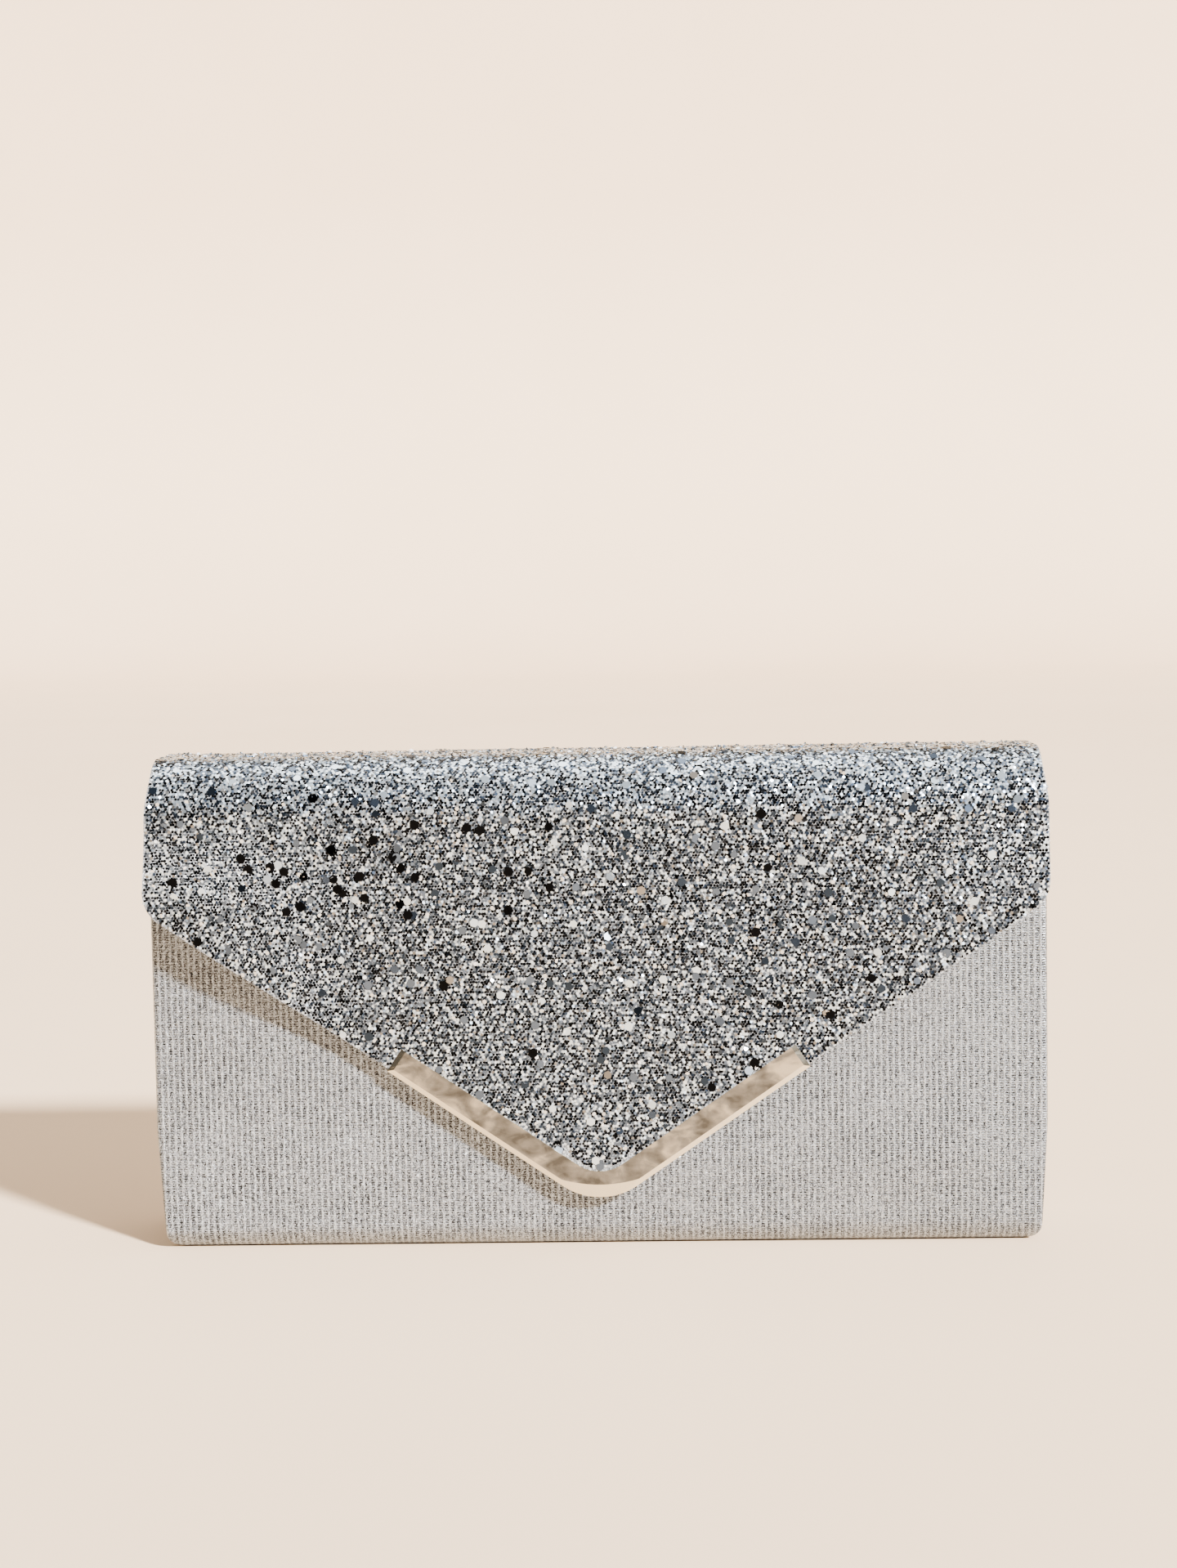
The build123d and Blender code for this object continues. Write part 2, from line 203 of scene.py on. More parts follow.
def cloth(name, points, uv, thickness, materials, inward, rim=0.3, edge_material=0):
    """A closed sheet of cloth: a grid of outer points, and the same grid set back by the thickness.

    inward is a point on the inner side, which settles which way the sheet is set back. rim is how much
    of the thickness the rounded edges take.
    """
    rows, columns = points.shape[:2]
    normals = grid_normals(points)
    middle = points[rows // 2, columns // 2]
    if np.dot(normals[rows // 2, columns // 2], np.array(inward) - middle) < 0:
        normals = -normals
    inner = points + normals * thickness
    count = rows * columns
    vertices = np.concatenate([points.reshape(-1, 3), inner.reshape(-1, 3)])
    index = np.arange(count).reshape(rows, columns)
    a, b = index[:-1, :-1].ravel(), index[:-1, 1:].ravel()
    c, d = index[1:, 1:].ravel(), index[1:, :-1].ravel()
    outer_faces = np.stack([a, b, c, d], 1)
    inner_faces = np.stack([a, d, c, b], 1) + count
    border = np.concatenate([
        index[0, :], index[1:, -1], index[-1, -2::-1], index[-2:0:-1, 0],
    ])
    following = np.roll(border, -1)
    rim_faces = np.stack([following, border, border + count, following + count], 1)
    faces = np.concatenate([outer_faces, inner_faces, rim_faces])
    flat = uv.reshape(-1, 2)
    corner_uv = flat[faces % count]
    edges = np.concatenate([
        np.zeros(len(outer_faces) + len(inner_faces), int), np.full(len(rim_faces), edge_material),
    ])
    thing = new_object(name, vertices, faces.tolist(), corner_uv.reshape(-1, 2), materials, edges)
    make_outward(thing)
    if rim:
        apply_modifier(
            thing, "BEVEL", width=rim * thickness, segments=2, limit_method="ANGLE",
            angle_limit=radians(60), material=-1,
        )
    thing.data.shade_smooth()
    return thing


def make_outward(thing):
    """Turns the mesh's faces outward where it is inside out."""
    mesh = thing.data
    mesh.calc_loop_triangles()
    corners = np.zeros(len(mesh.vertices) * 3)
    mesh.vertices.foreach_get("co", corners)
    corners = corners.reshape(-1, 3)
    triangles = np.zeros(len(mesh.loop_triangles) * 3, int)
    mesh.loop_triangles.foreach_get("vertices", triangles)
    a, b, c = (corners[triangles.reshape(-1, 3)[:, k]] for k in range(3))
    if np.einsum("ij,ij->", a, np.cross(b, c)) < 0:
        mesh.flip_normals()


# ---- Materials ----
COLOUR_A, COLOUR_B, COLOUR_OUT = 6, 7, 2     # a colour Mix node's sockets


class Nodes:
    """Short calls for the nodes that are used often."""

    def __init__(self, tree):
        self.tree = tree

    def link(self, value, socket):
        if isinstance(value, bpy.types.NodeSocket):
            self.tree.links.new(value, socket)
        elif isinstance(value, (tuple, list)) and len(value) == 3 and socket.type == "RGBA":
            socket.default_value = (*value, 1)
        else:
            socket.default_value = value

    def node(self, kind, **values):
        """A new node, with a value or a link for each of its inputs that is named."""
        node = self.tree.nodes.new("ShaderNode" + kind)
        for key, value in values.items():
            self.link(value, node.inputs[key])
        return node

    def stretched(self, x, y, z=1.0):
        return self.node("Mapping", Vector=self.place, Scale=(x, y, z)).outputs["Vector"]

    def noise(self, scale, detail=3.0, rough=0.5, place=None, distortion=0.0):
        node = self.node("TexNoise", Vector=place or self.place, Scale=scale, Detail=detail, Roughness=rough,
                         Distortion=distortion)
        return node.outputs["Fac"]

    def cells(self, scale, output="Color", place=None):
        return self.node("TexVoronoi", Vector=place or self.place, Scale=scale).outputs[output]

    def bands(self, scale, direction, distortion):
        node = self.node("TexWave", Vector=self.place, Scale=scale, Distortion=distortion, Detail=1.0)
        node.bands_direction = direction
        return node.outputs["Fac"]

    def ramp(self, value, *stops):
        """stops are (position, colour or grey)."""
        node = self.node("ValToRGB", Fac=value)
        elements = node.color_ramp.elements
        while len(elements) < len(stops):
            elements.new(0.5)
        for element, (position, colour) in zip(elements, stops):
            element.position = position
            element.color = (*colour, 1) if isinstance(colour, tuple) else (colour, colour, colour, 1)
        return node.outputs["Color"]

    def math(self, operation, a, b=0.0, c=0.0):
        node = self.node("Math")
        node.operation = operation
        for socket, value in zip(node.inputs, (a, b, c)):
            self.link(value, socket)
        return node.outputs["Value"]

    def mix(self, factor, a, b):
        node = self.node("Mix")
        node.data_type = "RGBA"
        self.link(factor, node.inputs["Factor"])
        self.link(a, node.inputs[COLOUR_A])
        self.link(b, node.inputs[COLOUR_B])
        return node.outputs[COLOUR_OUT]

    def axis(self, output, letter):
        """One axis of a texture coordinate, such as the surface's own normal."""
        source = self.node("TexCoord").outputs[output]
        return self.node("SeparateXYZ", Vector=source).outputs[letter]

    def red(self, colour):
        return self.node("SeparateColor", Color=colour).outputs["Red"]

    def bump(self, height, distance, strength):
        return self.node("Bump", Height=height, Distance=distance, Strength=strength).outputs["Normal"]


class Material(Nodes):
    """A new material. Its textures lie on the flat cloth, or in the object's own space."""

    def __init__(self, name, coordinates="cloth"):
        self.material = bpy.data.materials.new(name)
        self.material.use_nodes = True
        super().__init__(self.material.node_tree)
        self.shader = self.tree.nodes["Principled BSDF"]
        if coordinates == "cloth":
            source = self.node("UVMap")
            source.uv_map = "cloth"
            self.place = source.outputs["UV"]
        else:
            self.place = self.node("TexCoord").outputs["Object"]

    def set(self, **values):
        for key, value in values.items():
            self.link(value, self.shader.inputs[key.replace("_", " ")])


def glitter_bed():
    """The backing between the flakes: grey resin with fine glitter dust in it."""
    n = Material("glitter_bed")
    grain = n.red(n.cells(2600.0))
    dust = n.ramp(grain, (0.0, 0.04), (0.3, 0.09), (0.6, 0.20), (1.0, 0.55))
    resin = n.ramp(n.noise(60.0), (0.35, (0.09, 0.097, 0.11)), (0.65, (0.17, 0.18, 0.20)))
    n.set(
        Base_Color=n.mix(0.3, dust, resin),
        Metallic=0.25,
        Roughness=n.ramp(grain, (0.0, 0.55), (1.0, 0.25)),
        Normal=n.bump(n.cells(2600.0, "Distance"), 0.0002, 0.8),
    )
    return n.material


def cut_edge():
    """The cream edge of the flap's cloth, where it is cut."""
    n = Material("cut_edge")
    fibre = n.noise(1800.0, 4.0)
    n.set(
        Base_Color=n.ramp(fibre, (0.3, (0.34, 0.31, 0.26)), (0.7, (0.50, 0.47, 0.42))),
        Roughness=0.75,
        Normal=n.bump(fibre, 0.0001, 0.5),
    )
    return n.material


def flake_material(name, colour, roughness):
    """One tone of glitter flake: a chip of metallised film."""
    n = Material(name)
    n.set(Base_Color=colour, Metallic=1.0, Roughness=roughness)
    return n.material


def lurex(name, light, dark):
    """Metallic-thread cloth: bright and dark grains of thread, and upright ribs with a dotted groove at
    each side, a deep one and a shallow one in turn."""
    n = Material(name)
    fine = n.red(n.cells(1.0, place=n.stretched(4600.0, 4200.0)))
    coarse = n.red(n.cells(1.0, place=n.stretched(2900.0, 2500.0)))
    deep = n.math("POWER", n.bands(BAND_PERIOD / rib_pitch, "X", 0.5), 2.2)
    shallow = n.math("POWER", n.bands(2 * BAND_PERIOD / rib_pitch, "X", 0.5), 2.0)
    groove = n.math("MULTIPLY_ADD", shallow, 0.45, n.math("MULTIPLY", deep, 0.75))
    row = n.bands(BAND_PERIOD / row_pitch, "Y", 2.0)
    patch = n.ramp(n.noise(60.0, 3.0), (0.3, 0.7), (0.65, 1.0))
    gap = n.math("MULTIPLY", n.math("MULTIPLY", groove, n.math("MULTIPLY_ADD", row, 0.7, 0.3)), patch)
    grain = n.math("ADD", n.math("MULTIPLY", fine, 0.5), n.math("MULTIPLY", coarse, 0.5))
    level = n.math("SUBTRACT", n.math("MULTIPLY_ADD", grain, 1.1, 0.15), n.math("MULTIPLY", gap, 0.8))
    middle = tuple(0.42 * a + 0.58 * b for a, b in zip(light, dark))
    n.set(
        Base_Color=n.ramp(level, (0.12, dark), (0.5, middle), (1.0, light)),
        Metallic=n.ramp(fine, (0.2, 0.8), (0.8, 1.0)),
        Roughness=n.ramp(coarse, (0.2, 0.48), (0.8, 0.33)),
        Normal=n.bump(level, 0.0003, 0.6),
    )
    n.shader.inputs["Sheen Weight"].default_value = 0.08
    n.shader.inputs["Sheen Roughness"].default_value = 0.5
    return n.material


def satin(name, light, dark):
    """Lining cloth: a fine, slightly shiny weave."""
    n = Material(name)
    warp = n.bands(1500.0, "X", 0.6)
    weft = n.bands(1100.0, "Y", 0.8)
    weave = n.math("MULTIPLY", warp, weft)
    slub = n.noise(1.0, 3.0, place=n.stretched(30.0, 400.0))
    colour = n.ramp(n.math("ADD", n.math("MULTIPLY", weave, 0.4), n.math("MULTIPLY", slub, 0.6)),
                    (0.2, dark), (0.7, light))
    n.set(
        Base_Color=colour,
        Roughness=n.ramp(slub, (0.3, 0.5), (0.7, 0.36)),
        Normal=n.bump(weave, 0.00008, 0.5),
    )
    n.shader.inputs["Sheen Weight"].default_value = 0.35
    n.shader.inputs["Anisotropic"].default_value = 0.4
    return n.material


def board_material(name, light, dark):
    """Grey stiffening board, with fibres and flecks."""
    n = Material(name, "object")
    fibre = n.noise(1.0, 5.0, place=n.stretched(400.0, 400.0, 1400.0))
    fleck = n.ramp(n.red(n.cells(900.0)), (0.92, 0.0), (0.97, 1.0))
    n.set(
        Base_Color=n.mix(fleck, n.ramp(fibre, (0.3, dark), (0.7, light)), tuple(0.5 * c for c in dark)),
        Roughness=0.85,
        Normal=n.bump(fibre, 0.0001, 0.5),
    )
    return n.material


def trim_metal(name, bevel_reflection, face_reflection, shadow):
    """Polished pale metal, with painted reflection: the bevels are painted lighter, and the flat face
    darker, with streaks of painted light and shade along soft folds.
    """
    n = Material(name, "object")
    fold = n.noise(1.0, 2.0, 0.5, place=n.stretched(95.0, 60.0, 150.0), distortion=1.1)
    haze_and_streaks = n.noise(1.0, 5.0, 0.6, place=n.stretched(300.0, 60.0, 420.0), distortion=0.8)
    # Painted reflection: the flat face's colour runs in streaks of painted light and painted shade along the
    # folds.
    reflection_streaks = n.math("ADD", n.math("MULTIPLY", fold, 0.75), n.math("MULTIPLY", haze_and_streaks, 0.25))
    streak_highlight = tuple(0.6 * a + 0.4 * b for a, b in zip(bevel_reflection, face_reflection))
    face = n.ramp(reflection_streaks, (0.36, shadow), (0.5, face_reflection), (0.66, streak_highlight))
    # The bevels take the lighter colour, a painted reflection of the floor; the flat face takes the darker
    # one.
    turned = n.math("MULTIPLY", n.axis("Normal", "Y"), -1.0)
    flat = n.ramp(turned, (0.994, 0.0), (0.9985, 1.0))
    n.set(
        Base_Color=n.mix(flat, bevel_reflection, face),
        Metallic=1.0,
        Roughness=n.math("MULTIPLY_ADD", haze_and_streaks, 0.16, 0.06),
        Normal=n.bump(fold, 0.0010, 0.25),
    )
    return n.material


def plated(name, colour):
    """Nickel plate, finely brushed and a little worn."""
    n = Material(name, "object")
    brush = n.noise(1.0, 3.0, 0.6, place=n.stretched(2500.0, 2500.0, 300.0))
    worn = n.noise(220.0, 4.0)
    n.set(
        Base_Color=n.ramp(worn, (0.3, tuple(0.8 * c for c in colour)), (0.7, colour)),
        Metallic=1.0,
        Roughness=n.ramp(brush, (0.2, 0.18), (0.8, 0.34)),
        Normal=n.bump(brush, 0.00005, 0.4),
    )
    return n.material


def magnet_material():
    """Dark, slightly pitted metal."""
    n = Material("magnet", "object")
    pit = n.noise(900.0, 5.0, 0.7)
    n.set(
        Base_Color=n.ramp(pit, (0.3, (0.05, 0.05, 0.055)), (0.7, (0.16, 0.16, 0.17))),
        Metallic=0.7,
        Roughness=n.ramp(pit, (0.3, 0.35), (0.7, 0.6)),
        Normal=n.bump(pit, 0.0001, 0.4),
    )
    return n.material


def thread_material():
    """Silver-grey sewing thread with its twist."""
    n = Material("thread")
    twist = n.bands(900.0, "DIAGONAL", 0.5)
    n.set(
        Base_Color=n.ramp(twist, (0.2, (0.30, 0.30, 0.31)), (0.8, (0.74, 0.73, 0.72))),
        Roughness=0.55,
        Normal=n.bump(twist, 0.0001, 0.6),
    )
    return n.material


def floor_material():
    """A plain pale surface with a faint grain."""
    n = Material("floor", "object")
    patch = n.noise(3.0, 4.0)
    n.set(
        Base_Color=n.ramp(patch, (0.3, (0.63, 0.465, 0.305)), (0.7, (0.65, 0.48, 0.32))),
        Roughness=0.7,
        Normal=n.bump(n.noise(500.0, 3.0), 0.0002, 0.15),
    )
    return n.material


# ---- The carcass's cloth ----
def half_width(z, inset):
    """Half the carcass's width at a height: straight, then drawn in, then a rounded corner."""
    z = np.asarray(z, float)
    wide = body_half - inset
    drawn_in = wide - taper * np.clip((taper_start - z) / (taper_start - inset), 0, 1)
    corner = np.clip(end_corner + inset - z, 0, end_corner)
    return drawn_in - (end_corner - np.sqrt(end_corner**2 - corner**2))


def trough_path(inset, front_top, back_top, step):
    """Points and inward normals, in y and z, from the front's top down, along the bottom and up the
    back, at a distance inside the carcass's outer face. Also the distance along the path."""
    y0, y1 = front_y + inset, back_y - inset
    radius = bottom_turn - inset

    def straight(y, z, normal):
        points = grid(y, z)
        return points, np.tile(normal, (len(points), 1))

    def arc(centre_y, angle):
        outward = grid(np.cos(angle), np.sin(angle))
        return np.array([centre_y, bottom_turn]) + radius * outward, -outward

    def heights(top):
        return np.linspace(bottom_turn, top, max(2, int((top - bottom_turn) / step)))

    runs = [
        straight(y0, heights(front_top)[::-1], (1.0, 0.0)),
        arc(y0 + radius, np.linspace(pi, 1.5 * pi, 9)[1:]),
        straight(np.linspace(y0 + radius, y1 - radius, 14)[1:-1], inset, (0.0, 1.0)),
        arc(y1 - radius, np.linspace(1.5 * pi, 2 * pi, 9)),
        straight(y1, heights(back_top)[1:], (-1.0, 0.0)),
    ]
    path, normal = (np.concatenate(part) for part in zip(*runs))
    return path, normal, distance_along(path)


def panel_crown(x, z, half, top):
    """How much a panel swells in its middle, from nothing at its edges to all of it inside."""
    side = smooth((half - np.abs(x)) / (26 * MM))
    low = smooth((z - 2 * MM) / (24 * MM))
    high = smooth((top - z) / (20 * MM))
    return side * low * high


def blend_mouth(thing):
    """Bakes a piece's placement into its mesh; it does not bend the piece between the bag's back and its
    front panel, which leans out.
    """
    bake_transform(thing)


def make_body_cloth(material):
    """The cover cloth, one piece from the front's top edge around the bottom and up the back. It is
    turned over the board's side edges and over the front's top edge."""
    turn = 1.2 * MM
    front_swell, back_swell, dimple_radius = 0.9 * MM, 1.1 * MM, 15 * MM
    shoulder = front_high.z - turn
    path, normal, along = trough_path(0, shoulder, back_high.z, 2.2 * MM)
    top_angle = np.linspace(pi, 0, 10)[:-1]
    over_top = grid(front_y, shoulder + turn * np.sin(top_angle))
    path = np.concatenate([over_top, path])
    normal = np.concatenate([np.tile([1.0, 0.0], (len(top_angle), 1)), normal])
    distance = np.concatenate([-turn * top_angle, along])[:, None]
    top_angle = np.concatenate([top_angle, 0 * along])[:, None]

    side_angle = np.linspace(0, pi, 10)[1:]
    between = np.linspace(-1, 1, 105)
    edge = np.ones(len(side_angle))
    side = np.concatenate([-edge, 0 * between, edge])
    place = np.concatenate([-edge, between, edge])
    angle = np.concatenate([side_angle[::-1], 0 * between, side_angle])
    half = half_width(np.minimum(path[:, 1], shoulder), 0)[:, None] - turn
    x = place * half + side * turn * np.sin(angle)
    depth = turn * (1 - np.cos(np.maximum(angle, top_angle)))
    points = grid(x, path[:, :1] + normal[:, :1] * depth, path[:, 1:] + normal[:, 1:] * depth)
    uv = grid(place * half + side * turn * angle, distance)

    y, z = points[..., 1], points[..., 2]
    is_front = (np.abs(y - front_y) < 1e-6) & (z > bottom_turn - 1e-6)
    is_back = (np.abs(y - back_y) < 1e-6) & (z > bottom_turn - 1e-6)
    crown = panel_crown(x, z, body_half - turn, shoulder)
    dimple = 1 - smooth(1.6 - np.hypot(x, z - snap_z) / dimple_radius)
    wave = 1 + 0.35 * soft_noise(x, z, 0.045, 3.0)
    under_strip = smooth((strip_low.z - 2 * MM - z) / (10 * MM))
    points[..., 1] += np.where(is_back, back_swell * crown * under_strip * wave, 0)
    points[..., 1] -= np.where(is_front, front_swell * crown * dimple * wave, 0)
    thing = cloth("body_cloth", points, uv, COVER, [material], INSIDE, rim=0.25)
    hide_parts("front_cover", "bottom_cover", "back_cover")
    blend_mouth(thing)


def make_body_lining(material):
    """The lining, one piece from below the facing, around the bottom and up the back."""
    inset = COVER + BOARD
    path, normal, along = trough_path(inset, facing_low.z + 3 * MM, back_high.z - 0.4 * MM, 2.5 * MM)
    x = half_width(path[:, 1], lining_edge_inset)[:, None] * np.linspace(-1, 1, 91)
    points = grid(x, path[:, :1], path[:, 1:])
    crown = panel_crown(x, path[:, 1:], body_half - lining_edge_inset, facing_low.z)
    swell = 0.35 * MM * crown * (1 + soft_noise(x, path[:, 1:], 0.02, 8.0))
    points[..., 1:] += normal[:, None, :] * swell[..., None]
    thing = cloth("body_lining", points, grid(x, along[:, None]), LINING, [material], INSIDE)
    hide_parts("front_lining", "bottom_lining", "back_lining")
    blend_mouth(thing)


def slab(name, low, high, outer_y, inner_y, material, columns, rows, swell, corner=0.0, seed=1.0):
    """A flat piece of cloth on a wall of the bag, its visible face towards inner_y, a little uneven,
    with its two lower corners rounded by the radius given."""
    z = np.linspace(high.z, low.z, rows)[:, None]
    across = np.linspace(-1, 1, columns)
    rise = np.clip(corner - (z - low.z), 0, corner)
    half = (high.x - low.x) / 2 - (corner - np.sqrt(np.maximum(corner**2 - rise**2, 0)))
    x = (low.x + high.x) / 2 + half * across
    inside = smooth((1 - np.abs(across)) * (high.x - low.x) / (16 * MM)) * smooth((z - low.z) / (6 * MM))
    direction = np.sign(inner_y - outer_y)
    y = inner_y + direction * swell * inside * (0.6 + 0.8 * soft_noise(x, z, 0.025, seed))
    behind = ((low.x + high.x) / 2, outer_y - direction, (low.z + high.z) / 2)
    return cloth(name, grid(x, y, z), grid(x, z), abs(inner_y - outer_y), [material], behind)


def make_facing(material):
    """The strip of cover cloth inside the mouth, on the front panel."""
    thing = slab("mouth_facing", facing_low, facing_high, facing_low.y, facing_high.y, material, 90, 16,
                 0.15 * MM, seed=4.0)
    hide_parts("front_facing")
    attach(thing, "front_panel")


def make_pocket(material):
    """The slip pocket: stitched down at its sides and bottom, its hemmed top standing a little open."""
    thing = slab("slip_pocket_cloth", pocket_low, pocket_high, pocket_high.y, pocket_low.y, material,
                 60, 36, 0.7 * MM, corner=7 * MM, seed=9.0)
    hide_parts("slip_pocket")
    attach(thing, "carcass")


def gusset_grid(side, offset, top):
    """Outer points of a folded end at an offset in from its outer face, as rows from the top down."""
    fold_depth = gusset_high.x - gusset_low.x - 1.1 * MM
    floor = COVER + BOARD + LINING + 0.15 * MM
    z = steps(top, (bottom_turn, 44), (floor, 6))[:, None]
    u = np.linspace(0, 1, 41)
    from_fold = np.abs(2 * u - 1)
    depth = fold_depth * np.clip((z - bottom_turn) / (gusset_high.z - bottom_turn), 0, 1)
    rise = np.clip(bottom_turn - z, 0, None)
    arc = bottom_turn - floor
    draw_in = arc - np.sqrt(np.maximum(arc**2 - rise**2, 0))
    fold = 1 - np.sqrt(from_fold**2 + 0.006)
    bow = 0.025 * np.sin(2 * pi * from_fold)
    x = gusset_high.x - offset - depth * np.clip(fold + bow, 0, 1)
    y = (gusset_high.y - draw_in) * (1 - u) + (gusset_front_seam + draw_in) * u
    width = np.hypot(depth, (gusset_high.y - gusset_front_seam) / 2)
    return grid(side * x, y, z), grid((2 * u - 1) * width, z)


def make_gussets(outer_material, inner_material):
    """The folded end at each side of the bag, and its lining."""
    for name, side in (("left", -1), ("right", 1)):
        for layer, material, offset, thickness, top, slot in (
            ("gusset", outer_material, 0.0, 1.1 * MM, gusset_high.z, "lurex_fabric"),
            ("gusset_lining", inner_material, 1.15 * MM, 0.5 * MM, gusset_high.z - 0.6 * MM, "lining_satin"),
        ):
            points, uv = gusset_grid(side, offset, top)
            thing = cloth(f"{name}_{layer}_cloth", points, uv, thickness, [material], INSIDE)
            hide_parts(f"{name}_{layer}_back", f"{name}_{layer}_front")
            blend_mouth(thing)


def make_ring_tabs(material):
    """Each ring's tab: a strip that comes down the lining, goes round the ring's bar and back up."""
    bar = joint["right_ring_swing"]
    strip, loop = 0.8 * MM, 1.8 * MM
    half = (tab_high.x - tab_low.x) / 2
    angle = np.linspace(0, -1.42 * pi, 22)
    down = grid(tab_high.y, np.linspace(tab_high.z, bar.z + 0.3 * MM, 12))
    arc = grid(bar.y + loop * np.cos(angle), bar.z + loop * np.sin(angle))
    front_y_of_strip = tab_high.y - 2 * strip
    up = np.array([[front_y_of_strip + 0.25 * MM, bar.z + 3.2 * MM],
                   [front_y_of_strip + 0.45 * MM, bar.z + 5.0 * MM],
                   [front_y_of_strip + 0.5 * MM, tab_high.z - 1.0 * MM]])
    path = np.concatenate([down, arc, up[:1] * 0.5 + arc[-1:] * 0.5, up])
    across = half * np.linspace(-1, 1, 11)
    uv = grid(across, distance_along(path)[:, None])
    inward_y = bar.y + 0.2 * (bar.y - path[len(path) // 2][0])
    for name, side in (("left", -1), ("right", 1)):
        centre_x = side * (tab_low.x + half)
        points = grid(centre_x + across, path[:, :1], path[:, 1:])
        thing = cloth(f"{name}_tab_cloth", points, uv, strip * 0.9, [material], (centre_x, inward_y, bar.z))
        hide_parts(f"{name}_ring_tab")
        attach(thing, "carcass")


# ---- The flap ----
def flap_lower_edge(x, inset=0.0):
    """Height of the flap's lower edge at x: a rounded point, two straight edges, rounded shoulders."""
    x = np.abs(np.asarray(x, float))
    wide = flap_half - inset
    apex = flap_apex + inset / cos(flap_slope)
    slope = tan(flap_slope)
    tip_r, shoulder_r = tip_radius - inset, shoulder_radius - inset
    straight = apex + slope * x
    tip_centre = apex + tip_r / cos(flap_slope)
    tip = tip_centre - np.sqrt(np.maximum(tip_r**2 - x**2, 0))
    shoulder_x = wide - shoulder_r
    shoulder_z = apex + slope * shoulder_x + shoulder_r / cos(flap_slope)
    shoulder = shoulder_z - np.sqrt(np.maximum(shoulder_r**2 - (x - shoulder_x) ** 2, 0))
    edge = np.where(x < tip_r * sin(flap_slope), tip, straight)
    return np.where(x > shoulder_x + shoulder_r * sin(flap_slope), shoulder, edge)


class FlapPath:
    """The flap's outline seen from the end, at a depth inside its outer face. s runs from the lower
    edge of the strip on the back, up over the roll and down the front."""

    def __init__(self, depth, start_z):
        self.back_y = flap_back_y - depth
        self.radius = roll_radius - depth
        self.start_z = start_z
        self.spring = flap_top - roll_radius
        arc = self.radius * pi / 2
        flat = (self.back_y - self.radius) - (flap_front_y + depth + self.radius)
        self.s_back_arc = self.spring - start_z
        self.s_flat = self.s_back_arc + arc
        self.s_front_arc = self.s_flat + flat
        self.s_front = self.s_front_arc + arc

    def at_height_on_front(self, z):
        return self.s_front + self.spring - z

    def __call__(self, s):
        """y, z and the outward normal's y and z."""
        s = np.asarray(s, float)
        on_back_arc = np.clip(s, self.s_back_arc, self.s_flat) - self.s_back_arc
        on_front_arc = np.clip(s, self.s_front_arc, self.s_front) - self.s_front_arc
        across = np.clip(s, self.s_flat, self.s_front_arc) - self.s_flat
        turned = (on_back_arc + on_front_arc) / self.radius
        ny, nz = np.cos(turned), np.sin(turned)
        y = self.back_y - self.radius * (1 - ny) - across
        up, down = np.minimum(s, self.s_back_arc), np.maximum(s - self.s_front, 0)
        z = self.start_z + up + self.radius * nz - down
        return y, z, ny, nz


def flap_swell(x, s, path):
    """How far the flap's surface stands off its plain path: the roll's top arches a little, the surface
    is slightly uneven, and the sides of the front flare away from the bag, more so at the left. It is
    true under the trim and near the back."""
    along_top = (s - path.s_back_arc) / (path.s_front - path.s_back_arc)
    arch = -0.25 * MM * smooth(1 - np.abs(2 * along_top - 1) * 1.15)
    uneven = 0.30 * MM * soft_noise(x, s, 0.05, 1.0) + 0.14 * MM * soft_noise(x, s, 0.016, 2.0)
    _, z, _, _ = path(s)
    on_front = s > path.s_front
    clear_of_edge = smooth((z - flap_lower_edge(x) - 1 * MM - trim_width) / (16 * MM))
    near_trim = smooth((np.abs(x) - 70 * MM) / (16 * MM))
    fade = np.where(on_front, np.maximum(clear_of_edge, 0.7 * near_trim), 1.0)
    from_back = smooth((s - 8 * MM) / (30 * MM))
    from_ends = 0.35 + 0.65 * smooth((flap_half - np.abs(x)) / (12 * MM))
    beyond_trim = smooth((np.abs(x) - 62 * MM) / (45 * MM))
    flare = np.where(x < 0, left_flare, right_flare) * beyond_trim * smooth((path.spring - z) / (24 * MM))
    return (arch + uneven * fade) * from_back * from_ends + np.where(on_front, flare, 0)


def drawn_in(x, s, path):
    """x on the flap, with the roll's ends drawn in a little where the cloth bends hardest."""
    over = smooth((s - path.s_back_arc) / (10 * MM)) * smooth((path.s_front - s) / (14 * MM))
    return x * (1 - 0.009 * over)


def flap_surface(x, s, path, height=0.0):
    """Points on the flap, a height above its outer face, and the outward normals."""
    y, z, ny, nz = path(s)
    off = flap_swell(x, s, path) + height
    points = grid(drawn_in(x, s, path), y + ny * off, z + nz * off)
    return points, grid(0.0, ny, nz)


def flap_columns(inset):
    """Positions across the flap, closer together at the shoulders and the point."""
    wide = flap_half - inset
    shoulder_r = shoulder_radius - inset
    arc = wide - shoulder_r + shoulder_r * np.sin(np.linspace(pi / 2, flap_slope, 12))
    tip = (tip_radius - inset) * sin(flap_slope)
    middle = np.linspace(arc[-1], tip, 46)[1:]
    point = np.linspace(tip, 0, 9)[1:]
    right = np.concatenate([arc, middle, point])
    return np.concatenate([-right, right[-2::-1]])


